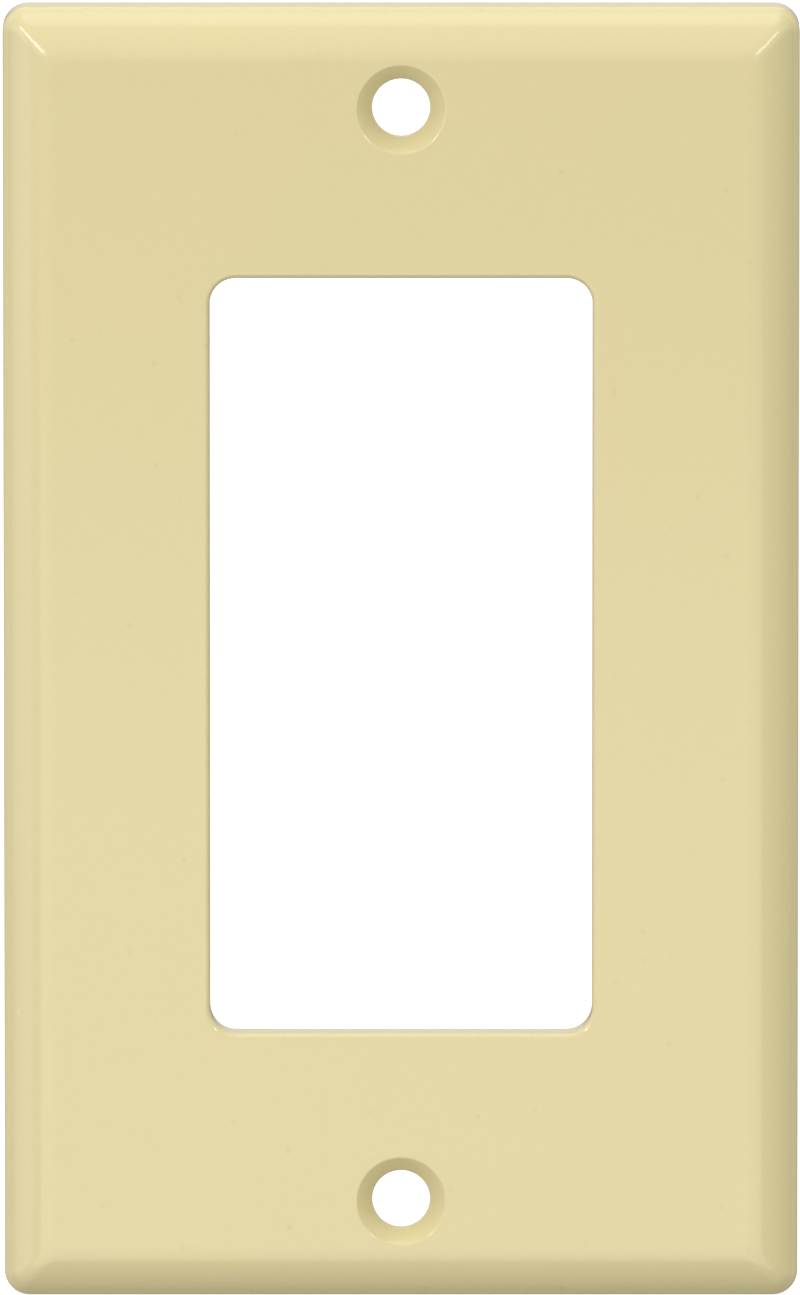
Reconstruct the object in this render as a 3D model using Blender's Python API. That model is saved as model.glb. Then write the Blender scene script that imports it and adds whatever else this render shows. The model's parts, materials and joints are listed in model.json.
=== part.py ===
"""One-gang decorator wall plate: a single ivory moulding that covers a rocker-style wiring device.

The origin is the middle of the plane where the plate meets the wall. The wall is the plane y = 0, the plate's
face looks along -Y, and +Z is up. All sizes are in metres.
"""

import math

import bmesh
import bpy

MM = 0.001

# The plate's outside.
PLATE_WIDTH = 69.85 * MM
PLATE_HEIGHT = 114.3 * MM
PLATE_DEPTH = 6.35 * MM
CORNER_RADIUS = 2.2 * MM

# The border, from the skirt's front edge to the flat face: a small rounded edge, a slope that eases from
# SLOPE_FOOT to SLOPE_TOP, and a soft roll into the face. The angles are measured from the face.
EDGE_RADIUS = 0.6 * MM
SLOPE_WIDTH = 3.0 * MM
SLOPE_FOOT = math.radians(55)
SLOPE_TOP = math.radians(19)
ROLL_WIDTH = 1.55 * MM

# Walls of the moulding.
PANEL_THICKNESS = 2.3 * MM
SKIRT_WALL = 1.9 * MM
POCKET_CHAMFER = 1.3 * MM
LIP_WALL = 1.5 * MM
RIB_WALL = 1.2 * MM

# Room for the device's metal strap, between the wall and the lip and bosses that rest on it, and how far the
# ribs stay clear of it.
STRAP_GAP = 3.0 * MM
RIB_CLEARANCE = 0.4 * MM

# The opening for a decorator device.
OPENING_WIDTH = 33.6 * MM
OPENING_HEIGHT = 67.0 * MM
OPENING_RADIUS = 2.3 * MM
OPENING_FILLET = 0.5 * MM

# The two holes for oval-head 6-32 screws: a rounded rim, a cone, a straight land, and a wider relief bore
# behind it inside a round boss.
SCREW_TO_END = 8.73 * MM
COUNTERSINK_RIM = 0.3 * MM
COUNTERSINK_DIAMETER = 7.8 * MM
COUNTERSINK_ANGLE = math.radians(82)
SCREW_HOLE_DIAMETER = 5.1 * MM
SCREW_LAND = 0.6 * MM
RELIEF_CLEARANCE = 0.95 * MM
BOSS_WALL = 1.5 * MM

# Ribs on each side of the opening: one in the middle, and one this far above and below it.
SIDE_RIB_SPACING = 22.0 * MM

# How finely the rounds are divided, the sharpest inner corner, and how far cutters and joined pieces overlap.
CORNER_STEPS = 6
ROUND_STEPS = 48
FILLET_STEPS = 5
SLOPE_STEPS = 4
SHARPEST_CORNER = 0.8 * MM
OVERLAP = 0.5 * MM
CUT_MARGIN = 2.0 * MM

FACE_Y = -PLATE_DEPTH
PANEL_BACK_Y = FACE_Y + PANEL_THICKNESS
SCREW_Z = PLATE_HEIGHT / 2 - SCREW_TO_END


def clear_scene():
    for obj in list(bpy.data.objects):
        bpy.data.objects.remove(obj, do_unlink=True)


def plastic(name, colour, roughness):
    """A glossy moulded plastic."""
    material = bpy.data.materials.new(name)
    material.use_nodes = True
    shader = material.node_tree.nodes["Principled BSDF"]
    shader.inputs["Base Color"].default_value = (*colour, 1)
    shader.inputs["Roughness"].default_value = roughness
    shader.inputs["Metallic"].default_value = 0
    material.diffuse_color = (*colour, 1)
    return material


def add_object(name, mesh):
    """Turns a bmesh into a scene object with its faces pointing outwards."""
    bmesh.ops.recalc_face_normals(mesh, faces=mesh.faces)
    data = bpy.data.meshes.new(name)
    mesh.to_mesh(data)
    mesh.free()
    obj = bpy.data.objects.new(name, data)
    bpy.context.scene.collection.objects.link(obj)
    return obj


def rounded_rectangle(width, height, radius):
    """The outline's (x, z) points, anticlockwise from the right-hand side."""
    points = []
    for quarter, (side_x, side_z) in enumerate(((1, 1), (-1, 1), (-1, -1), (1, -1))):
        centre_x = side_x * (width / 2 - radius)
        centre_z = side_z * (height / 2 - radius)
        for step in range(CORNER_STEPS + 1):
            angle = (quarter + step / CORNER_STEPS) * math.pi / 2
            points.append((centre_x + radius * math.cos(angle), centre_z + radius * math.sin(angle)))
    return points


def plate_outline(inset):
    """The plate's outline moved inwards. Its corners tighten until they are mitred."""
    radius = max(CORNER_RADIUS - inset, SHARPEST_CORNER)
    return rounded_rectangle(PLATE_WIDTH - 2 * inset, PLATE_HEIGHT - 2 * inset, radius)


def opening_outline(outset):
    """The opening's outline moved outwards."""
    return rounded_rectangle(OPENING_WIDTH + 2 * outset, OPENING_HEIGHT + 2 * outset, OPENING_RADIUS + outset)


def loft(name, sections):
    """A closed solid through (outline, y) sections that all have the same number of points."""
    mesh = bmesh.new()
    rings = []
    for outline, y in sections:
        corners = [mesh.verts.new((x, y, z)) for x, z in outline]
        rings.append([mesh.edges.new(pair) for pair in zip(corners, corners[1:] + corners[:1])])
    for back, front in zip(rings, rings[1:]):
        bmesh.ops.bridge_loops(mesh, edges=back + front)
    for end in (rings[0], rings[-1]):
        bmesh.ops.contextual_create(mesh, geom=end)
    return add_object(name, mesh)


def turned(name, profile, z):
    """A solid of revolution about the line x = 0 at height z, from (radius, y) points that start and end on it."""
    mesh = bmesh.new()
    points = [mesh.verts.new((radius, y, z)) for radius, y in profile]
    edges = [mesh.edges.new(pair) for pair in zip(points, points[1:])]
    bmesh.ops.spin(
        mesh, geom=points + edges, cent=(0, 0, z), axis=(0, 1, 0), angle=2 * math.pi, steps=ROUND_STEPS
    )
    bmesh.ops.remove_doubles(mesh, verts=mesh.verts, dist=0.001 * MM)
    return add_object(name, mesh)


def block(name, low, high):
    """A box between two corners."""
    mesh = bmesh.new()
    bmesh.ops.create_cube(mesh, size=1)
    bmesh.ops.scale(mesh, verts=mesh.verts, vec=[b - a for a, b in zip(low, high)])
    bmesh.ops.translate(mesh, verts=mesh.verts, vec=[(a + b) / 2 for a, b in zip(low, high)])
    return add_object(name, mesh)


def combine(target, operation, name, tools):
    """Adds one Boolean modifier for a group of solids, and turns them into hidden helpers."""
    group = bpy.data.collections.new(name)
    bpy.context.scene.collection.children.link(group)
    for tool in tools:
        bpy.context.scene.collection.objects.unlink(tool)
        group.objects.link(tool)
        tool.display_type = "WIRE"
        tool.hide_render = True
        tool.parent = target
    modifier = target.modifiers.new(name, "BOOLEAN")
    modifier.operation = operation
    modifier.solver = "EXACT"
    modifier.operand_type = "COLLECTION"
    modifier.collection = group


def border_profile():
    """(inset, height above the skirt) points of the border, from the skirt's front edge up to the face."""
    points = []
    for step in range(FILLET_STEPS + 1):
        turn = (math.pi / 2 - SLOPE_FOOT) * step / FILLET_STEPS
        points.append((EDGE_RADIUS * (1 - math.cos(turn)), EDGE_RADIUS * math.sin(turn)))
    for width, foot, top in ((SLOPE_WIDTH, SLOPE_FOOT, SLOPE_TOP), (ROLL_WIDTH, SLOPE_TOP, 0)):
        radius = width / (math.sin(foot) - math.sin(top))
        inset, height = points[-1]
        for step in range(1, SLOPE_STEPS + 1):
            slope = foot + (top - foot) * step / SLOPE_STEPS
            rise = radius * (math.cos(slope) - math.cos(foot))
            points.append((inset + radius * (math.sin(foot) - math.sin(slope)), height + rise))
    return points


def make_shell():
    """The solid outer shape: a straight skirt, then the border, then the flat face."""
    border = border_profile()
    skirt_front_y = FACE_Y + border[-1][1]
    sections = [(plate_outline(0), 0)]
    sections += [(plate_outline(inset), skirt_front_y - height) for inset, height in border]
    return loft("wall_plate", sections)


def pocket_cutter():
    """The hollow back, with a chamfer under the border that keeps the wall even."""
    return loft(
        "pocket_cutter",
        [
            (plate_outline(SKIRT_WALL), CUT_MARGIN),
            (plate_outline(SKIRT_WALL), PANEL_BACK_Y + POCKET_CHAMFER),
            (plate_outline(SKIRT_WALL + POCKET_CHAMFER), PANEL_BACK_Y),
        ],
    )


def lip_block():
    """The lip round the opening, still filled in."""
    outline = opening_outline(LIP_WALL)
    return loft("lip_block", [(outline, -STRAP_GAP), (outline, PANEL_BACK_Y - OVERLAP)])


def opening_cutter():
    """The opening, which flares at the face to leave a rounded front edge."""
    sections = [(opening_outline(0), CUT_MARGIN)]
    for step in range(FILLET_STEPS + 1):
        turn = math.pi / 2 * step / FILLET_STEPS
        outset = OPENING_FILLET * (1 - math.cos(turn))
        sections.append((opening_outline(outset), FACE_Y + OPENING_FILLET * (1 - math.sin(turn))))
    sections.append((opening_outline(OPENING_FILLET), FACE_Y - CUT_MARGIN))
    return loft("opening_cutter", sections)


def relief_radius():
    """The wide bore behind each screw hole."""
    return SCREW_HOLE_DIAMETER / 2 + RELIEF_CLEARANCE


def boss(name, z):
    """The round boss behind a screw hole, still filled in."""
    radius = relief_radius() + BOSS_WALL
    front_y = PANEL_BACK_Y - OVERLAP
    return turned(name, [(0, -STRAP_GAP), (radius, -STRAP_GAP), (radius, front_y), (0, front_y)], z)


def screw_cutter(name, z):
    """From the back: the relief bore, the hole's land, its countersink and the countersink's rounded rim."""
    hole = SCREW_HOLE_DIAMETER / 2
    sink = COUNTERSINK_DIAMETER / 2
    wall_tilt = math.pi / 2 - COUNTERSINK_ANGLE / 2
    rim = sink + COUNTERSINK_RIM * math.tan(wall_tilt / 2)
    cone_end_y = FACE_Y + (sink - hole) / math.tan(COUNTERSINK_ANGLE / 2)
    land_end_y = cone_end_y + SCREW_LAND
    profile = [
        (0, CUT_MARGIN),
        (relief_radius(), CUT_MARGIN),
        (relief_radius(), land_end_y),
        (hole, land_end_y),
        (hole, cone_end_y),
    ]
    for step in range(FILLET_STEPS + 1):
        turn = wall_tilt * (1 - step / FILLET_STEPS)
        y = FACE_Y + COUNTERSINK_RIM * (1 - math.cos(turn))
        profile.append((rim - COUNTERSINK_RIM * math.sin(turn), y))
    profile += [(rim, FACE_Y - CUT_MARGIN), (0, FACE_Y - CUT_MARGIN)]
    return turned(name, profile, z)


def ribs():
    """Stiffening ribs on the panel's back: along and across each boss, and from the lip to the skirt."""
    low_y = PANEL_BACK_Y - OVERLAP
    high_y = -STRAP_GAP - RIB_CLEARANCE
    half = RIB_WALL / 2
    skirt_x = PLATE_WIDTH / 2 - SKIRT_WALL / 2
    skirt_z = PLATE_HEIGHT / 2 - SKIRT_WALL / 2
    lip_x = (OPENING_WIDTH + LIP_WALL) / 2
    lip_z = (OPENING_HEIGHT + LIP_WALL) / 2
    for end, way in (("upper", 1), ("lower", -1)):
        z_ends = sorted((way * lip_z, way * skirt_z))
        yield block(f"{end}_end_rib", (-half, low_y, z_ends[0]), (half, high_y, z_ends[1]))
        z = way * SCREW_Z
        yield block(f"{end}_cross_rib", (-skirt_x, low_y, z - half), (skirt_x, high_y, z + half))
    for side, way in (("right", 1), ("left", -1)):
        x_ends = sorted((way * lip_x, way * skirt_x))
        for number in range(3):
            z = (number - 1) * SIDE_RIB_SPACING
            name = f"{side}_rib_{number + 1}"
            yield block(name, (x_ends[0], low_y, z - half), (x_ends[1], high_y, z + half))


def make_wall_plate():
    plate = make_shell()
    ends = (("upper", SCREW_Z), ("lower", -SCREW_Z))
    bosses = [boss(f"{end}_boss", z) for end, z in ends]
    screw_cutters = [screw_cutter(f"{end}_screw_cutter", z) for end, z in ends]
    combine(plate, "DIFFERENCE", "hollow_back", [pocket_cutter()])
    combine(plate, "UNION", "raised_walls", [lip_block(), *bosses, *ribs()])
    combine(plate, "DIFFERENCE", "holes", [opening_cutter(), *screw_cutters])
    plate.data.materials.append(plastic("ivory_plastic", (0.76, 0.67, 0.42), 0.35))


clear_scene()
make_wall_plate()
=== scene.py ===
# %% [markdown]
# # A one-gang decorator wall plate
#
# The real object is a cover that goes over a rocker-style switch or outlet. It is one piece of ivory
# plastic, shot into a steel mould in a few seconds: a thin flat panel with a sloping border, a straight
# skirt that meets the wall, a large opening for the device, and two countersunk screw holes. Nothing on it
# moves. So this lesson is about one mesh made well, and about a plastic that looks moulded.
#
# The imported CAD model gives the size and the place. Here the same moulding is modelled again with far finer
# rounds, soft edges and the small marks that a mould leaves, and it takes the CAD solid's place.

# %% Load the frame
import json
import math

import bmesh
import bpy
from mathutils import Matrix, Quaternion, Vector
from mathutils.bvhtree import BVHTree


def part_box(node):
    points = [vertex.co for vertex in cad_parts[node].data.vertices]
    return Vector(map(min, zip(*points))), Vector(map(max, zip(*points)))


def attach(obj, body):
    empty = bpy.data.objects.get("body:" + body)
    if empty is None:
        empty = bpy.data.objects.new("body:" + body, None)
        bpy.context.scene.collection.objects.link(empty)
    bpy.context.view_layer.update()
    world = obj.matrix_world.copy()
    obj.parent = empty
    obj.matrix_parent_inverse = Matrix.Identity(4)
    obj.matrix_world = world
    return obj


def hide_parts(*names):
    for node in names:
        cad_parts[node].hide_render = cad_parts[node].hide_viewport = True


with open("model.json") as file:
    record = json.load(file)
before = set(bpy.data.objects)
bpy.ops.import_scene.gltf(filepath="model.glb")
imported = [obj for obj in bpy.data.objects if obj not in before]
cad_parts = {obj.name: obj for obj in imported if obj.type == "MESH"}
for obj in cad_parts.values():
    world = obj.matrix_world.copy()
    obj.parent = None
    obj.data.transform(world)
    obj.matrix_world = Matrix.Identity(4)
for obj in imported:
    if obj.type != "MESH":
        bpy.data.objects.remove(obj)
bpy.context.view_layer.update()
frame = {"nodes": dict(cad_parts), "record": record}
plate_low, plate_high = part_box("wall_plate")
plate_size = plate_high - plate_low
print("plate, mm:", [round(side * 1000, 2) for side in plate_size])

# %% [markdown]
# ## Sizes
#
# The outside comes from the frame, and the screw holes' height from the record's mounts. The other sizes
# repeat the CAD model's own values, because this script can't read that file. At the end, the finished mesh
# is measured against the CAD solid, which shows whether they still agree. Everything is in metres.

# %% Sizes of the moulding
MM = 0.001

width = plate_size.x
height = plate_size.z
face_y = plate_low.y
wall_y = plate_high.y
centre_z = (plate_low.z + plate_high.z) / 2

CORNER_RADIUS = 2.2 * MM
RIDGE_RADIUS = 0.8 * MM
EDGE_RADIUS = 0.6 * MM
SLOPE_WIDTH = 3.0 * MM
SLOPE_FOOT = math.radians(55)
SLOPE_TOP = math.radians(19)
ROLL_WIDTH = 1.55 * MM

PANEL_THICKNESS = 2.3 * MM
SKIRT_WALL = 1.9 * MM
POCKET_CHAMFER = 1.3 * MM
LIP_WALL = 1.5 * MM
RIB_WALL = 1.2 * MM
STRAP_GAP = 3.0 * MM
RIB_CLEARANCE = 0.4 * MM
SIDE_RIB_SPACING = 22.0 * MM

OPENING_WIDTH = 33.6 * MM
OPENING_HEIGHT = 67.0 * MM
OPENING_RADIUS = 2.3 * MM
OPENING_FILLET = 0.5 * MM

COUNTERSINK_RIM = 0.3 * MM
COUNTERSINK_DIAMETER = 7.8 * MM
COUNTERSINK_ANGLE = math.radians(82)
SCREW_HOLE_DIAMETER = 5.1 * MM
SCREW_LAND = 0.6 * MM
RELIEF_DIAMETER = 7.0 * MM
BOSS_DIAMETER = 10.0 * MM

panel_back_y = face_y + PANEL_THICKNESS
strap_y = wall_y - STRAP_GAP
rib_y = strap_y - RIB_CLEARANCE
mounts = {mount["name"]: Vector(mount["pos_m"]) for mount in frame["record"]["mounts"]}
screw_heights = [mounts["upper_boss_back"].z, mounts["lower_boss_back"].z]
print("screw holes apart, mm:", round((screw_heights[0] - screw_heights[1]) * 1000, 2))

# %% [markdown]
# ## Helpers for working by hand, in code
#
# Each step below is what a person would do in edit mode: add a primitive, pick some faces or edges, and run
# a tool on them. Picking by place or by direction takes the part of the mouse. Everything is deselected
# first, because a tool acts on all that is selected.

# %% Picking and editing
TOUCH = 0.01 * MM
SHORTEST_RUN = 0.1 * MM
FACING = 0.99


def edit(piece):
    """Open one piece in edit mode, with nothing picked."""
    bpy.ops.object.select_all(action="DESELECT")
    bpy.context.view_layer.objects.active = piece
    piece.select_set(True)
    bpy.ops.object.mode_set(mode="EDIT")
    bpy.ops.mesh.select_all(action="DESELECT")


def leave_edit():
    bpy.ops.object.mode_set(mode="OBJECT")


def pick(piece, kind, test):
    """Pick the 'VERT', 'EDGE' or 'FACE' elements that pass the test, and say how many there are."""
    bpy.ops.mesh.select_mode(type=kind)
    bpy.ops.mesh.select_all(action="DESELECT")
    mesh = bmesh.from_edit_mesh(piece.data)
    mesh.normal_update()
    elements = {"VERT": mesh.verts, "EDGE": mesh.edges, "FACE": mesh.faces}[kind]
    chosen = [element for element in elements if test(element)]
    for element in chosen:
        element.select_set(True)
    bmesh.update_edit_mesh(piece.data)
    return len(chosen)


def on_plane(edge, y):
    """True for an edge that lies in the plane at this depth."""
    return all(abs(corner.co.y - y) < TOUCH for corner in edge.verts)


def runs_deep(edge):
    """True for an edge that runs from the wall towards the face."""
    return abs(edge.verts[0].co.y - edge.verts[1].co.y) > SHORTEST_RUN


def looks_forward(face):
    return face.normal.y < -FACING


def looks_back(face):
    return face.normal.y > FACING


def block(name, low, high):
    """A box between two corners, with its size and place in its mesh."""
    low, high = Vector(low), Vector(high)
    bpy.ops.object.select_all(action="DESELECT")
    bpy.ops.mesh.primitive_cube_add(size=1, location=(low + high) / 2, scale=high - low)
    piece = bpy.context.object
    piece.name = name
    bpy.ops.object.transform_apply(location=True, rotation=True, scale=True)
    return piece


def combine(piece, tools, operation):
    """Join or cut with a group of tools in one exact Boolean, and throw the tools away."""
    group = bpy.data.collections.new("tools")
    for tool in tools:
        group.objects.link(tool)
    bpy.ops.object.select_all(action="DESELECT")
    bpy.context.view_layer.objects.active = piece
    piece.select_set(True)
    modifier = piece.modifiers.new(operation.lower(), "BOOLEAN")
    modifier.operation = operation
    modifier.solver = "EXACT"
    modifier.operand_type = "COLLECTION"
    modifier.collection = group
    bpy.ops.object.modifier_apply(modifier=modifier.name)
    for tool in tools:
        bpy.data.objects.remove(tool, do_unlink=True)
    bpy.data.collections.remove(group)


def split_middle(piece):
    """Add a seam down the middle, at x = 0, so that a later hole lands on it and leaves two plain halves."""
    edit(piece)
    bpy.ops.mesh.select_all(action="SELECT")
    bpy.ops.mesh.bisect(plane_co=(0, 0, 0), plane_no=(1, 0, 0))
    leave_edit()


def round_corners(piece, radius, segments):
    """Round the four corner edges that run from the wall to the face."""
    edit(piece)
    pick(piece, "EDGE", runs_deep)
    bpy.ops.mesh.bevel(offset=radius, offset_type="OFFSET", segments=segments, affect="EDGES")
    leave_edit()


# %% [markdown]
# ## The outer shell
#
# On the real plate the border is a slope that gets gentler towards the face. Where two sides of it meet, the
# rounded corner of the outline shrinks to a mitre, and that ridge is what catches the light in a plate's
# corners. It could be cut with a Bevel, but one width and one profile can't give a small round at the skirt,
# a slope in the middle and a soft roll at the top.
#
# So the shell starts as a block as deep as the skirt. Its corners are rounded, and the front face is then
# stepped up in rings. While the corner is wider than the ridge, each ring is an inset, which tightens the
# corner. After that the face is extruded and scaled, which keeps the ridge's own small radius.

# %% The border's profile
EDGE_STEPS = 8
SLOPE_STEPS = 12
ROLL_STEPS = 14


def border_profile():
    """(distance in from the outline, height above the skirt) for each ring, from the skirt up to the face."""
    points = []
    for step in range(1, EDGE_STEPS + 1):
        turn = (math.pi / 2 - SLOPE_FOOT) * step / EDGE_STEPS
        points.append((EDGE_RADIUS * (1 - math.cos(turn)), EDGE_RADIUS * math.sin(turn)))
    arcs = ((SLOPE_WIDTH, SLOPE_FOOT, SLOPE_TOP, SLOPE_STEPS), (ROLL_WIDTH, SLOPE_TOP, 0, ROLL_STEPS))
    for arc_width, foot, top, steps in arcs:
        radius = arc_width / (math.sin(foot) - math.sin(top))
        start_in, start_up = points[-1]
        for step in range(1, steps + 1):
            slope = foot + (top - foot) * step / steps
            inwards = radius * (math.sin(foot) - math.sin(slope))
            upwards = radius * (math.cos(slope) - math.cos(foot))
            points.append((start_in + inwards, start_up + upwards))
    return points


border = border_profile()
skirt_front_y = face_y + border[-1][1]
print("border, mm: width", round(border[-1][0] * 1000, 2), "height", round(border[-1][1] * 1000, 2))

# %% The block and its front face
CORNER_SEGMENTS = 20

plate = block("wall_plate_moulding", (plate_low.x, skirt_front_y, plate_low.z), plate_high)
round_corners(plate, CORNER_RADIUS, CORNER_SEGMENTS)


def scale_ring(inset_before, inset_after):
    """Scale the picked face about the plate's middle, so that its sides move in by the difference."""
    across = (width - 2 * inset_after) / (width - 2 * inset_before)
    along = (height - 2 * inset_after) / (height - 2 * inset_before)
    bpy.ops.transform.resize(value=(across, 1, along), center_override=(0, 0, centre_z))


def step_face(inset_before, inset_after, depth):
    """One ring: an inset while the corner stays wider than the ridge, then an extrusion that is scaled."""
    if CORNER_RADIUS - inset_after > RIDGE_RADIUS:
        bpy.ops.mesh.inset(thickness=inset_after - inset_before, depth=depth, use_even_offset=True)
        return
    bpy.ops.mesh.extrude_region_move(TRANSFORM_OT_translate={"value": (0, -depth, 0)})
    scale_ring(inset_before, inset_after)


edit(plate)
pick(plate, "FACE", looks_forward)
inset, rise = 0, 0
for next_inset, next_rise in border:
    step_face(inset, next_inset, next_rise - rise)
    inset, rise = next_inset, next_rise
leave_edit()
print("shell:", len(plate.data.polygons), "faces")

# %% [markdown]
# ## The hollow back
#
# A moulding is hollow, so that its walls are even and cool together. The back face is inset by the skirt's
# wall and pushed in towards the face, and its last step slopes, so that the wall under the border stays as
# thick as the panel. This needs no cutter: it is the same face, moved.
#
# At the end the whole plate gets a seam down its middle. A face with a hole in it can't exist in a mesh, so a
# Boolean joins each hole to the rim by an edge of its own choosing. A seam that already runs through the
# holes leaves it nothing to choose, and the bevels later on start from a tidy place.

# %% Push in the back
edit(plate)
pick(plate, "FACE", looks_back)
bpy.ops.mesh.inset(thickness=SKIRT_WALL, depth=0, use_even_offset=True)
chamfer_y = panel_back_y + POCKET_CHAMFER
bpy.ops.mesh.extrude_region_move(TRANSFORM_OT_translate={"value": (0, chamfer_y - wall_y, 0)})
bpy.ops.mesh.extrude_region_move(TRANSFORM_OT_translate={"value": (0, panel_back_y - chamfer_y, 0)})
scale_ring(SKIRT_WALL, SKIRT_WALL + POCKET_CHAMFER)
leave_edit()
split_middle(plate)
print("with its hollow back:", len(plate.data.polygons), "faces")

# %% [markdown]
# ## Lip, bosses and ribs
#
# Behind the panel a lip runs round the opening, a round boss backs each screw, and thin ribs tie them to the
# skirt. Ribs in a mould are tapered, or the part would not let go of the steel, so each rib is a block whose
# free side is scaled narrower and then rounded with a bevel. All of them start and end inside walls that are
# already there, so a Boolean joins them. It joins them in one go: a chain of Booleans rounds its numbers off
# again at each step, and can leave tiny holes.

# %% One rib, and one round bar
ROOT = 0.5 * MM
RIB_TAPER = 0.75
SOFT_EDGE = 0.2 * MM
SOFT_SEGMENTS = 4
LIP_SEGMENTS = 14
ROUND_SIDES = 96


def rib(name, low, high, thin_axis):
    """A block that narrows towards its free side, whose two long edges are rounded."""
    piece = block(name, low, high)
    edit(piece)
    pick(piece, "FACE", looks_back)
    factors = [1, 1, 1]
    factors[thin_axis] = RIB_TAPER
    middle = (Vector(low) + Vector(high)) / 2
    bpy.ops.transform.resize(value=factors, center_override=middle)
    long_axis = 2 - thin_axis

    def is_long_edge(edge):
        first, second = edge.verts
        return on_plane(edge, high[1]) and first.co[long_axis] != second.co[long_axis]

    pick(piece, "EDGE", is_long_edge)
    bpy.ops.mesh.bevel(offset=SOFT_EDGE, segments=SOFT_SEGMENTS, affect="EDGES")
    leave_edit()
    return piece


def bar(name, radius, low_y, high_y, x, z, sides=ROUND_SIDES):
    """A round bar from low_y to high_y, with its place in its mesh."""
    bpy.ops.object.select_all(action="DESELECT")
    bpy.ops.mesh.primitive_cylinder_add(
        vertices=sides,
        radius=radius,
        depth=high_y - low_y,
        location=(x, (low_y + high_y) / 2, z),
        rotation=(math.pi / 2, 0, 0),
    )
    piece = bpy.context.object
    piece.name = name
    bpy.ops.object.transform_apply(location=True, rotation=True, scale=True)
    return piece


# %% The lip, the bosses and the ribs
root_y = panel_back_y - ROOT
half_rib = RIB_WALL / 2
skirt_x = width / 2 - SKIRT_WALL / 2
skirt_z = height / 2 - SKIRT_WALL / 2
lip_x = (OPENING_WIDTH + LIP_WALL) / 2
lip_z = (OPENING_HEIGHT + LIP_WALL) / 2

lip_half = (OPENING_WIDTH / 2 + LIP_WALL, OPENING_HEIGHT / 2 + LIP_WALL)
lip = block("lip", (-lip_half[0], root_y, -lip_half[1]), (lip_half[0], strap_y, lip_half[1]))
round_corners(lip, OPENING_RADIUS + LIP_WALL, LIP_SEGMENTS)
split_middle(lip)
raised = [lip]

for screw_z in screw_heights:
    boss = bar("boss", BOSS_DIAMETER / 2, root_y, strap_y, 0, screw_z)
    split_middle(boss)
    raised.append(boss)
    low, high = (-skirt_x, root_y, screw_z - half_rib), (skirt_x, rib_y, screw_z + half_rib)
    raised.append(rib("cross_rib", low, high, 2))
for way in (1, -1):
    ends = sorted((way * lip_z, way * skirt_z))
    raised.append(rib("end_rib", (-half_rib, root_y, ends[0]), (half_rib, rib_y, ends[1]), 0))
    ends = sorted((way * lip_x, way * skirt_x))
    for number in (-1, 0, 1):
        z = number * SIDE_RIB_SPACING
        low, high = (ends[0], root_y, z - half_rib), (ends[1], rib_y, z + half_rib)
        raised.append(rib("side_rib", low, high, 2))

# %% [markdown]
# A moulding also keeps the marks of its mould on the side nobody sees: the round ends of the steel pins that
# push it out, pressed in by a tenth of a millimetre, and the stub of the gate that the plastic came in by.
# They are small, but they are what makes a back look moulded instead of drawn.

# %% Ejector pins and the gate
PIN_DIAMETER = 4.5 * MM
PIN_DEPTH = 0.1 * MM
PIN_PLACES = ((25.0 * MM, 41.5 * MM), (24.8 * MM, 11.0 * MM))
PIN_SIDES = 48
GATE_DIAMETER = 1.6 * MM
GATE_HEIGHT = 0.35 * MM
GATE_PLACE = (8.5 * MM, -41.5 * MM)

pin_marks = [
    bar("pin_mark", PIN_DIAMETER / 2, panel_back_y - PIN_DEPTH, wall_y, side * x, end * z, PIN_SIDES)
    for x, z in PIN_PLACES
    for side in (1, -1)
    for end in (1, -1)
]
gate_end_y = panel_back_y + GATE_HEIGHT
raised.append(bar("gate", GATE_DIAMETER / 2, root_y, gate_end_y, *GATE_PLACE, sides=PIN_SIDES))
print(len(raised), "raised walls to join and", len(pin_marks), "pin marks to cut")
combine(plate, raised, "UNION")
print("with lip, bosses, ribs and gate:", len(plate.data.polygons), "faces")

# %% [markdown]
# ## Opening and screw holes
#
# The opening is a straight cut. A screw hole is three bores in one line: a wide relief from behind, the
# hole itself, and the cone for the screw's head, whose rim is rounded. Its tool starts as the relief's bar,
# and the front face of the bar is stepped forward by extruding and scaling, as with the border. The rim is
# part of the tool and not a bevel made later, because it ends a few hundredths of a millimetre short of the
# border and leaves a bevel no room. One Boolean then cuts everything.

# %% The tools that cut
MARGIN = 2.0 * MM
SAME_POINT = 0.003 * MM
RIM_SEGMENTS = 8

opening = block(
    "opening_tool",
    (-OPENING_WIDTH / 2, face_y - MARGIN, -OPENING_HEIGHT / 2),
    (OPENING_WIDTH / 2, wall_y + MARGIN, OPENING_HEIGHT / 2),
)
round_corners(opening, OPENING_RADIUS, LIP_SEGMENTS)

hole_radius = SCREW_HOLE_DIAMETER / 2
sink_radius = COUNTERSINK_DIAMETER / 2
cone_end_y = face_y + (sink_radius - hole_radius) / math.tan(COUNTERSINK_ANGLE / 2)
land_end_y = cone_end_y + SCREW_LAND


def screw_steps():
    """(depth, radius) of each step, from the relief bore forward to past the face."""
    rim_turn = math.pi / 2 - COUNTERSINK_ANGLE / 2
    mouth_radius = sink_radius + COUNTERSINK_RIM * math.tan(rim_turn / 2)
    steps = [(land_end_y, hole_radius), (cone_end_y, hole_radius)]
    for step in range(RIM_SEGMENTS + 1):
        turn = rim_turn * (1 - step / RIM_SEGMENTS)
        depth = face_y + COUNTERSINK_RIM * (1 - math.cos(turn))
        steps.append((depth, mouth_radius - COUNTERSINK_RIM * math.sin(turn)))
    steps.append((face_y - MARGIN, mouth_radius))
    return steps


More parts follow.
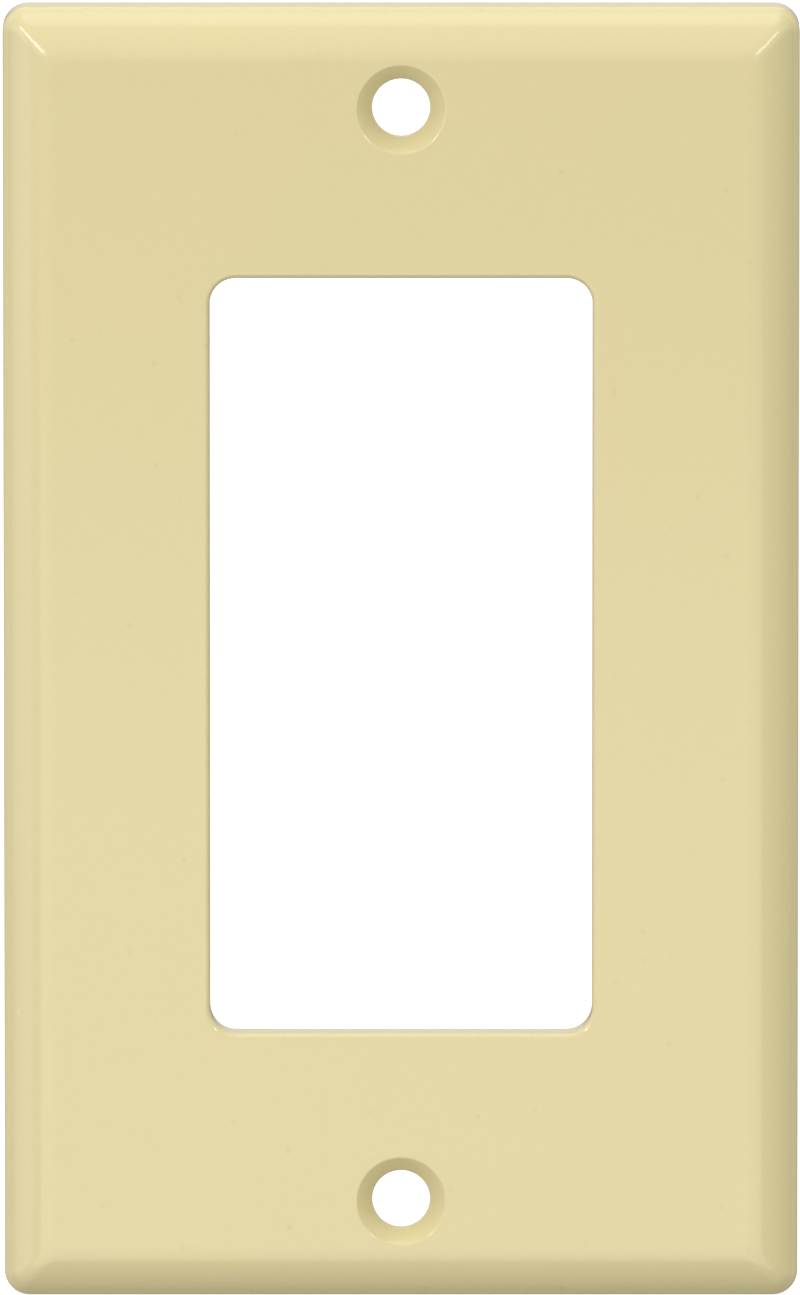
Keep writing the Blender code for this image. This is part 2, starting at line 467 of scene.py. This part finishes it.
def screw_tool(z):
    """The relief's bar, whose front face is stepped forward through the hole, its cone and its rim."""
    tool = bar("screw_tool", RELIEF_DIAMETER / 2, land_end_y, wall_y + MARGIN, 0, z)
    edit(tool)
    pick(tool, "FACE", looks_forward)
    at_y, at_radius = land_end_y, RELIEF_DIAMETER / 2
    for next_y, next_radius in screw_steps():
        bpy.ops.mesh.extrude_region_move(TRANSFORM_OT_translate={"value": (0, next_y - at_y, 0)})
        grow = next_radius / at_radius
        bpy.ops.transform.resize(value=(grow, 1, grow), center_override=(0, next_y, z))
        at_y, at_radius = next_y, next_radius
    leave_edit()
    return tool


# %% Cut them all
combine(plate, [opening, *(screw_tool(z) for z in screw_heights), *pin_marks], "DIFFERENCE")
edit(plate)
bpy.ops.mesh.select_all(action="SELECT")
bpy.ops.mesh.remove_doubles(threshold=SAME_POINT)
leave_edit()
print("with its openings:", len(plate.data.polygons), "faces")

# %% [markdown]
# ## Soft edges
#
# No moulded edge is sharp, and it is the rounds that shine. The opening's front edge has a 0.5 mm round, and
# the throats of the screw holes and the edges at the back are only broken. Each bevel below picks its edges
# by where they lie.

# %% Round the front edges
FRONT_SEGMENTS = 10
THROAT_ROUND = 0.08 * MM
THROAT_SEGMENTS = 2


def in_opening(edge):
    """True if both ends are on the opening's outline or inside it."""
    half_width, half_height = OPENING_WIDTH / 2 + TOUCH, OPENING_HEIGHT / 2 + TOUCH
    return all(abs(corner.co.x) < half_width and abs(corner.co.z) < half_height for corner in edge.verts)


def on_bore(edge, diameter):
    """True if both ends lie on a bore of this diameter round either screw."""
    return any(
        all(abs(math.hypot(corner.co.x, corner.co.z - z) - diameter / 2) < TOUCH for corner in edge.verts)
        for z in screw_heights
    )


def round_edges(title, test, size, segments):
    """Bevel the edges that pass the test, and say how many there were."""
    count = pick(plate, "EDGE", test)
    bpy.ops.mesh.bevel(offset=size, segments=segments, affect="EDGES", clamp_overlap=False)
    print(title + ":", count, "edges")


edit(plate)
round_edges("opening", lambda e: on_plane(e, face_y) and in_opening(e), OPENING_FILLET, FRONT_SEGMENTS)
round_edges(
    "throats",
    lambda e: on_plane(e, cone_end_y) and on_bore(e, SCREW_HOLE_DIAMETER),
    THROAT_ROUND,
    THROAT_SEGMENTS,
)
leave_edit()

# %% Break the back edges
STEEP = math.radians(60)
GATE_ROUND = SOFT_EDGE / 2
GATE_SEGMENTS = 2


def is_steep(edge):
    return len(edge.link_faces) == 2 and edge.calc_face_angle() > STEEP


edit(plate)
round_edges("wall rim", lambda e: on_plane(e, wall_y) and is_steep(e), SOFT_EDGE, SOFT_SEGMENTS)
round_edges("lip and bosses", lambda e: on_plane(e, strap_y) and is_steep(e), SOFT_EDGE, SOFT_SEGMENTS)
round_edges("gate", lambda e: on_plane(e, gate_end_y) and is_steep(e), GATE_ROUND, GATE_SEGMENTS)
leave_edit()
print("with soft edges:", len(plate.data.polygons), "faces")

# %% [markdown]
# ## Shading
#
# The rounds should look smooth and the panel has to stay dead flat, or its reflections would bend. Smooth
# shading alone mixes a big face's normal with its narrow neighbours'. So the rounds are shaded smooth by
# their angle, and a Weighted Normal modifier then lets the largest face round each point decide.

# %% Smooth rounds, flat panel
SMOOTH_ANGLE = math.radians(35)
LARGEST_FACE_DECIDES = 100

bpy.ops.object.select_all(action="DESELECT")
bpy.context.view_layer.objects.active = plate
plate.select_set(True)
bpy.ops.object.shade_smooth_by_angle(angle=SMOOTH_ANGLE)
weighted = plate.modifiers.new("flat_panel", "WEIGHTED_NORMAL")
weighted.mode = "FACE_AREA"
weighted.weight = LARGEST_FACE_DECIDES
weighted.keep_sharp = True
bpy.ops.object.modifier_apply(modifier=weighted.name)

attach(plate, "root")
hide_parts("wall_plate")

# %% [markdown]
# ## Measure it against the CAD solid
#
# The new mesh has to be closed, and it must not wander from the solid that it replaces. The tree below finds
# the nearest point of the new surface for each corner of the CAD solid.

# %% Is it closed, and how far is it from the CAD solid?
bm = bmesh.new()
bm.from_mesh(plate.data)
open_edges = sum(len(edge.link_faces) != 2 for edge in bm.edges)
triangles = sum(len(face.verts) - 2 for face in bm.faces)
surface = BVHTree.FromBMesh(bm)
cad_corners = [corner.co for corner in frame["nodes"]["wall_plate"].data.vertices]
largest_gap = max(surface.find_nearest(corner)[3] for corner in cad_corners)
print("open edges:", open_edges, " triangles:", triangles)
print("volume, mm3:", round(bm.calc_volume() / MM**3, 1))
print("largest distance of a CAD corner, mm:", round(largest_gap / MM, 3))
bm.free()

# %% [markdown]
# ## The plastic
#
# The plate is ivory plastic, coloured all through. Nothing is painted or printed on it, and it is new, so
# there is no wear to draw. What makes it look like plastic is small: the pigment is not stirred in quite
# evenly, a few specks of it stand out, and the polished steel of the mould leaves a skin that is glossy but
# not flat, with a faint orange peel.
#
# The front and the back come from two halves of the mould. The front half is polished and the back half is
# not, so there are two materials. Both use the same two node groups with their own values.

# %% A small helper for node trees
def add_node(tree, kind, place, **settings):
    """Add one node, set its properties and, by name or number, the values of its inputs."""
    node = tree.nodes.new(kind)
    node.location = place
    inputs = settings.pop("inputs", {})
    for name, value in settings.items():
        setattr(node, name, value)
    for name, value in inputs.items():
        node.inputs[name].default_value = value
    return node


def noise(tree, place, inputs):
    return add_node(tree, "ShaderNodeTexNoise", place, inputs=inputs)


def new_group(name, inputs, outputs):
    """An empty node group with float or colour sockets, and its two ends."""
    group = bpy.data.node_groups.new(name, "ShaderNodeTree")
    for direction, sockets in (("INPUT", inputs), ("OUTPUT", outputs)):
        for socket_name, kind, value in sockets:
            socket = group.interface.new_socket(name=socket_name, in_out=direction, socket_type=kind)
            if value is not None:
                socket.default_value = value
    start = add_node(group, "NodeGroupInput", (-900, 0))
    end = add_node(group, "NodeGroupOutput", (700, 0))
    return group, start, end


FLOAT = "NodeSocketFloat"
COLOUR = "NodeSocketColor"
VECTOR = "NodeSocketVector"

# %% [markdown]
# ### Pigment
#
# The first group makes the colour. A broad noise drifts between two near ivories, as pigment does along the
# plastic's flow. A fine noise adds a faint mottle, and a sparse Voronoi pattern leaves a few specks: the
# distance to each cell's point is small only near it, and the cell's own random colour decides whether that
# cell has a speck at all, and whether it is light or dark.

# %% The pigment group
def pigment_group():
    group, start, end = new_group(
        "pigment",
        [
            ("Position", VECTOR, None),
            ("Ivory", COLOUR, (0.8, 0.7, 0.4, 1)),
            ("Drift Colour", COLOUR, (0.8, 0.7, 0.4, 1)),
            ("Drift", FLOAT, 0.5),
            ("Mottle", FLOAT, 0.02),
            ("Speck", FLOAT, 0.2),
        ],
        [("Colour", COLOUR, None)],
    )
    link = group.links.new
    broad = noise(group, (-650, 300), {"Scale": 38, "Detail": 3, "Roughness": 0.5})
    spread = add_node(
        group,
        "ShaderNodeMapRange",
        (-450, 300),
        inputs={"From Min": 0.35, "From Max": 0.65, "To Min": 0, "To Max": 1},
    )
    amount = add_node(group, "ShaderNodeMath", (-250, 300), operation="MULTIPLY")
    drift = add_node(group, "ShaderNodeMix", (-50, 200), data_type="RGBA")
    link(start.outputs["Position"], broad.inputs["Vector"])
    link(broad.outputs["Fac"], spread.inputs["Value"])
    link(spread.outputs["Result"], amount.inputs[0])
    link(start.outputs["Drift"], amount.inputs[1])
    link(amount.outputs["Value"], drift.inputs["Factor"])
    link(start.outputs["Ivory"], drift.inputs["A"])
    link(start.outputs["Drift Colour"], drift.inputs["B"])

    fine = noise(group, (-650, 0), {"Scale": 2600, "Detail": 2, "Roughness": 0.6})
    centred = add_node(group, "ShaderNodeMath", (-450, 0), operation="SUBTRACT", inputs={1: 0.5})
    mottle = add_node(group, "ShaderNodeMath", (-250, 0), operation="MULTIPLY")
    link(start.outputs["Position"], fine.inputs["Vector"])
    link(fine.outputs["Fac"], centred.inputs[0])
    link(centred.outputs["Value"], mottle.inputs[0])
    link(start.outputs["Mottle"], mottle.inputs[1])

    cells = add_node(group, "ShaderNodeTexVoronoi", (-650, -300), inputs={"Scale": 420, "Randomness": 1})
    near = add_node(
        group,
        "ShaderNodeMapRange",
        (-450, -250),
        interpolation_type="SMOOTHSTEP",
        inputs={"From Min": 0.16, "From Max": 0.05, "To Min": 0, "To Max": 1},
    )
    split = add_node(group, "ShaderNodeSeparateColor", (-450, -450))
    rare = add_node(group, "ShaderNodeMath", (-250, -450), operation="GREATER_THAN", inputs={1: 0.82})
    sign = add_node(
        group,
        "ShaderNodeMapRange",
        (-250, -600),
        inputs={"From Min": 0, "From Max": 1, "To Min": -1, "To Max": 0.6},
    )
    speck = add_node(group, "ShaderNodeMath", (-50, -300), operation="MULTIPLY")
    signed = add_node(group, "ShaderNodeMath", (100, -400), operation="MULTIPLY")
    strength = add_node(group, "ShaderNodeMath", (250, -400), operation="MULTIPLY")
    link(start.outputs["Position"], cells.inputs["Vector"])
    link(cells.outputs["Distance"], near.inputs["Value"])
    link(cells.outputs["Color"], split.inputs["Color"])
    link(split.outputs["Red"], rare.inputs[0])
    link(split.outputs["Green"], sign.inputs["Value"])
    link(near.outputs["Result"], speck.inputs[0])
    link(rare.outputs["Value"], speck.inputs[1])
    link(speck.outputs["Value"], signed.inputs[0])
    link(sign.outputs["Result"], signed.inputs[1])
    link(signed.outputs["Value"], strength.inputs[0])
    link(start.outputs["Speck"], strength.inputs[1])

    both = add_node(group, "ShaderNodeMath", (250, -100), operation="ADD")
    factor = add_node(group, "ShaderNodeMath", (400, -100), operation="ADD", inputs={1: 1})
    tint = add_node(group, "ShaderNodeVectorMath", (550, 100), operation="SCALE")
    link(mottle.outputs["Value"], both.inputs[0])
    link(strength.outputs["Value"], both.inputs[1])
    link(both.outputs["Value"], factor.inputs[0])
    link(drift.outputs["Result"], tint.inputs["Vector"])
    link(factor.outputs["Value"], tint.inputs["Scale"])
    link(tint.outputs["Vector"], end.inputs["Colour"])
    return group


# %% [markdown]
# ### Skin
#
# The second group makes the surface. Its height is a slow orange peel with a finer grain on it, in metres,
# so that a Bump node can use it at true scale. Its roughness is a middle value that drifts a little, because
# a polished mould is never equally bright all over.

# %% The skin group
def skin_group():
    group, start, end = new_group(
        "mould_skin",
        [
            ("Position", VECTOR, None),
            ("Peel Height", FLOAT, 0.000002),
            ("Grain Height", FLOAT, 0.0000005),
            ("Grain Scale", FLOAT, 3000),
            ("Roughness", FLOAT, 0.3),
            ("Unevenness", FLOAT, 0.05),
        ],
        [("Height", FLOAT, None), ("Roughness", FLOAT, None)],
    )
    link = group.links.new
    peel = noise(group, (-600, 200), {"Scale": 620, "Detail": 1, "Roughness": 0.4})
    peel_height = add_node(group, "ShaderNodeMath", (-350, 200), operation="MULTIPLY")
    grain = noise(group, (-600, -50), {"Detail": 2, "Roughness": 0.6})
    grain_height = add_node(group, "ShaderNodeMath", (-350, -50), operation="MULTIPLY")
    height = add_node(group, "ShaderNodeMath", (-100, 100), operation="ADD")
    link(start.outputs["Position"], peel.inputs["Vector"])
    link(start.outputs["Position"], grain.inputs["Vector"])
    link(start.outputs["Grain Scale"], grain.inputs["Scale"])
    link(peel.outputs["Fac"], peel_height.inputs[0])
    link(start.outputs["Peel Height"], peel_height.inputs[1])
    link(grain.outputs["Fac"], grain_height.inputs[0])
    link(start.outputs["Grain Height"], grain_height.inputs[1])
    link(peel_height.outputs["Value"], height.inputs[0])
    link(grain_height.outputs["Value"], height.inputs[1])
    link(height.outputs["Value"], end.inputs["Height"])

    uneven = noise(group, (-600, -350), {"Scale": 90, "Detail": 4, "Roughness": 0.6})
    centred = add_node(group, "ShaderNodeMath", (-350, -350), operation="SUBTRACT", inputs={1: 0.5})
    swing = add_node(group, "ShaderNodeMath", (-150, -350), operation="MULTIPLY")
    rough = add_node(group, "ShaderNodeMath", (50, -300), operation="ADD")
    link(start.outputs["Position"], uneven.inputs["Vector"])
    link(uneven.outputs["Fac"], centred.inputs[0])
    link(centred.outputs["Value"], swing.inputs[0])
    link(start.outputs["Unevenness"], swing.inputs[1])
    link(swing.outputs["Value"], rough.inputs[0])
    link(start.outputs["Roughness"], rough.inputs[1])
    link(rough.outputs["Value"], end.inputs["Roughness"])
    return group


# %% The two materials
IVORY = (0.692, 0.606, 0.323, 1)
IVORY_DRIFT = (0.700, 0.612, 0.318, 1)
PLASTIC_IOR = 1.5
MICRON = 0.000001

pigment = pigment_group()
skin = skin_group()


def moulded_plastic(name, pigment_values, skin_values):
    """Plastic with the shared pigment and skin, both read in Object coordinates."""
    material = bpy.data.materials.new(name)
    material.use_nodes = True
    tree = material.node_tree
    link = tree.links.new
    shader = tree.nodes["Principled BSDF"]
    shader.inputs["IOR"].default_value = PLASTIC_IOR
    place = add_node(tree, "ShaderNodeTexCoord", (-900, 0))
    colour = add_node(tree, "ShaderNodeGroup", (-650, 200), node_tree=pigment, inputs=pigment_values)
    surface_look = add_node(tree, "ShaderNodeGroup", (-650, -150), node_tree=skin, inputs=skin_values)
    bump = add_node(tree, "ShaderNodeBump", (-300, -200), inputs={"Strength": 1, "Distance": 1})
    link(place.outputs["Object"], colour.inputs["Position"])
    link(place.outputs["Object"], surface_look.inputs["Position"])
    link(colour.outputs["Colour"], shader.inputs["Base Color"])
    link(surface_look.outputs["Roughness"], shader.inputs["Roughness"])
    link(surface_look.outputs["Height"], bump.inputs["Height"])
    link(bump.outputs["Normal"], shader.inputs["Normal"])
    return material


polished = moulded_plastic(
    "ivory_polished_side",
    {"Ivory": IVORY, "Drift Colour": IVORY_DRIFT, "Drift": 0.6, "Mottle": 0.04, "Speck": 0.10},
    {"Peel Height": 3.0 * MICRON, "Grain Height": 0.4 * MICRON, "Roughness": 0.15, "Unevenness": 0.03},
)
unpolished = moulded_plastic(
    "ivory_core_side",
    {"Ivory": IVORY, "Drift Colour": IVORY_DRIFT, "Drift": 1.0, "Mottle": 0.06, "Speck": 0.10},
    {"Peel Height": 2.0 * MICRON, "Grain Height": 2.5 * MICRON, "Roughness": 0.46, "Unevenness": 0.16},
)

# %% [markdown]
# Which half of the mould made a face depends on where it is. The back half made everything inside the skirt
# and outside the opening, so the test asks how far a face lies inside one rounded rectangle and outside
# another.

# %% Give each face its side of the mould
def depth_inside(x, z, full_width, full_height, radius):
    """How far a point lies inside a rounded rectangle about the middle; below 0 if it is outside."""
    over_x = abs(x) - (full_width / 2 - radius)
    over_z = abs(z - centre_z) - (full_height / 2 - radius)
    outside_core = math.hypot(max(over_x, 0), max(over_z, 0))
    return radius - outside_core - min(max(over_x, over_z), 0)


plate.data.materials.clear()
plate.data.materials.append(polished)
plate.data.materials.append(unpolished)
core_faces = 0
for face in plate.data.polygons:
    x, y, z = face.center
    behind_panel = y > panel_back_y - 2 * PIN_DEPTH
    inside_skirt = depth_inside(x, z, width, height, CORNER_RADIUS) > SOFT_EDGE
    beside_opening = depth_inside(x, z, OPENING_WIDTH, OPENING_HEIGHT, OPENING_RADIUS) < -SOFT_EDGE
    face.material_index = int(behind_panel and inside_skirt and beside_opening)
    core_faces += face.material_index
print("faces from the back half of the mould:", core_faces)

# %% [markdown]
# ## Floor and world
#
# The plate stands upright on a plain pale floor. A real studio floor would throw light up at the plate, and
# the lower border would lose its shade. So the floor is made visible to the camera only: it is seen, and it
# catches the plate's soft shadow, but it lights nothing and blocks nothing. Most of the paper's brightness
# is a glow of its own, so that it ends near white.
#
# The world is white to the camera. To every other ray it is a dome, bright above and dark below, which is
# how a room with a lit ceiling falls on a plate.

# %% A floor that only the camera sees
FLOOR_SIZE = 8.0
FLOOR_DROP = 0.05 * MM
PAPER_GREY = 0.30
PAPER_GLOW = 0.86

bpy.ops.object.select_all(action="DESELECT")
bpy.ops.mesh.primitive_plane_add(size=FLOOR_SIZE, location=(0, 0, plate_low.z - FLOOR_DROP))
floor = bpy.context.object
floor.name = "floor"
for kind in ("diffuse", "glossy", "transmission", "shadow"):
    setattr(floor, "visible_" + kind, False)
paper = bpy.data.materials.new("floor_paper")
paper.use_nodes = True
paper_shader = paper.node_tree.nodes["Principled BSDF"]
paper_shader.inputs["Base Color"].default_value = (PAPER_GREY, PAPER_GREY, PAPER_GREY, 1)
paper_shader.inputs["Roughness"].default_value = 1
paper_shader.inputs["Specular IOR Level"].default_value = 0
paper_shader.inputs["Emission Color"].default_value = (1, 1, 1, 1)
paper_shader.inputs["Emission Strength"].default_value = PAPER_GLOW
floor.data.materials.append(paper)

# %% A dome, bright above and dark below
DOME_ABOVE = 0.70
DOME_BELOW = 0.25
DOME_EDGE = 0.1

world = bpy.data.worlds.new("studio")
bpy.context.scene.world = world
world.use_nodes = True
sky = world.node_tree
sky.nodes.clear()
sky_end = add_node(sky, "ShaderNodeOutputWorld", (500, 0))
sky_rays = add_node(sky, "ShaderNodeLightPath", (0, 300))
sky_place = add_node(sky, "ShaderNodeTexCoord", (-700, 0))
sky_split = add_node(sky, "ShaderNodeSeparateXYZ", (-500, 0))
sky_ramp = add_node(
    sky,
    "ShaderNodeMapRange",
    (-300, 0),
    inputs={"From Min": -DOME_EDGE, "From Max": DOME_EDGE, "To Min": DOME_BELOW, "To Max": DOME_ABOVE},
)
dome = add_node(sky, "ShaderNodeBackground", (0, 0), inputs={"Color": (1, 1, 1, 1)})
white = add_node(sky, "ShaderNodeBackground", (0, -200), inputs={"Color": (1, 1, 1, 1), "Strength": 1})
sky_mix = add_node(sky, "ShaderNodeMixShader", (250, 0))
sky.links.new(sky_place.outputs["Generated"], sky_split.inputs["Vector"])
sky.links.new(sky_split.outputs["Z"], sky_ramp.inputs["Value"])
sky.links.new(sky_ramp.outputs["Result"], dome.inputs["Strength"])
sky.links.new(sky_rays.outputs["Is Camera Ray"], sky_mix.inputs["Fac"])
sky.links.new(dome.outputs["Background"], sky_mix.inputs[1])
sky.links.new(white.outputs["Background"], sky_mix.inputs[2])
sky.links.new(sky_mix.outputs["Shader"], sky_end.inputs["Surface"])
bpy.context.scene.view_settings.view_transform = "Standard"

# %% [markdown]
# ## Lights
#
# Each light is an area light, placed by the direction it comes from and turned to look at the plate.
#
# - The top light is nearly overhead. It brightens the upper border, the round under the opening and the
#   thin edge along the top.
# - A weaker light hangs high behind the plate. It shows the hollow back to whoever walks round, and from the
#   front it draws a thin bright line on the rounds that face up, such as the one under the opening.
# - A large panel on the left lifts that side, and nothing answers it on the right, so the right border falls
#   into shade.
# - A low panel in front is what the polished face mirrors towards the camera. The lower part of the face
#   sees more of it, so the face gets a little paler towards the bottom.
# - Two narrow strips hang high on either side, rolled so that each follows the line that a mitred corner of
#   the border mirrors, from its foot to its top. They draw the two long glints in the upper corners.

# %% Lights
plate_centre = Vector((0, (face_y + wall_y) / 2, centre_z))


def direction(azimuth, elevation):
    """Unit vector from the plate: azimuth 0 is straight in front of the face, positive to the right."""
    turn, lift = math.radians(azimuth), math.radians(elevation)
    return Vector((math.sin(turn) * math.cos(lift), -math.cos(turn) * math.cos(lift), math.sin(lift)))


def soft_box(name, azimuth, elevation, distance, size, power, colour, roll=0):
    """An area light that looks at the plate, rolled about its own axis, and isn't seen by the camera."""
    away = direction(azimuth, elevation)
    bpy.ops.object.select_all(action="DESELECT")
    bpy.ops.object.light_add(type="AREA", location=plate_centre + away * distance)
    lamp = bpy.context.object
    lamp.name = name
    turned = away.to_track_quat("Z", "Y") @ Quaternion((0, 0, 1), math.radians(roll))
    lamp.rotation_euler = turned.to_euler()
    lamp.data.shape = "RECTANGLE"
    lamp.data.size, lamp.data.size_y = size
    lamp.data.energy = power
    lamp.data.color = colour
    lamp.visible_camera = False
    return lamp


NEUTRAL = (1.0, 1.0, 1.0)
ROSY = (0.98, 0.90, 1.22)
soft_box("top_light", 0, 83, 1.2, (1.0, 0.6), 2.9, NEUTRAL)
soft_box("back_light", 180, 60, 1.2, (1.0, 0.4), 2.6, NEUTRAL)
soft_box("left_panel", -70, 5, 1.2, (0.8, 1.0), 2.0, ROSY)
soft_box("low_panel", 0, -24, 0.8, (1.2, 0.5), 2.6, NEUTRAL)
soft_box("left_strip", -37, 24, 1.0, (0.85, 0.09), 2.6, NEUTRAL, roll=-35)
soft_box("right_strip", 30, 19, 1.0, (0.6, 0.07), 1.3, NEUTRAL, roll=35)

# %% [markdown]
# ## Camera
#
# The camera stands well back with a long lens, a little above the plate, so that the sides stay parallel
# and the opening's lower wall just shows.

# %% Camera
CAMERA_DISTANCE = 2.5
CAMERA_LIFT = 8.1
FRAME_HEIGHT = 113.84 * MM
SENSOR = 36.0
AIM = Vector((-0.10 * MM, 0, 0.40 * MM))
CLIP_END = 20.0

bpy.ops.object.select_all(action="DESELECT")
camera_place = plate_centre + AIM + direction(0, CAMERA_LIFT) * CAMERA_DISTANCE
bpy.ops.object.camera_add(location=camera_place)
camera = bpy.context.object
camera.name = "camera"
camera.rotation_euler = direction(0, CAMERA_LIFT).to_track_quat("Z", "Y").to_euler()
camera.data.sensor_width = SENSOR
camera.data.lens = SENSOR * CAMERA_DISTANCE / FRAME_HEIGHT
camera.data.clip_end = CLIP_END
bpy.context.scene.camera = camera
print("lens, mm:", round(camera.data.lens, 1))
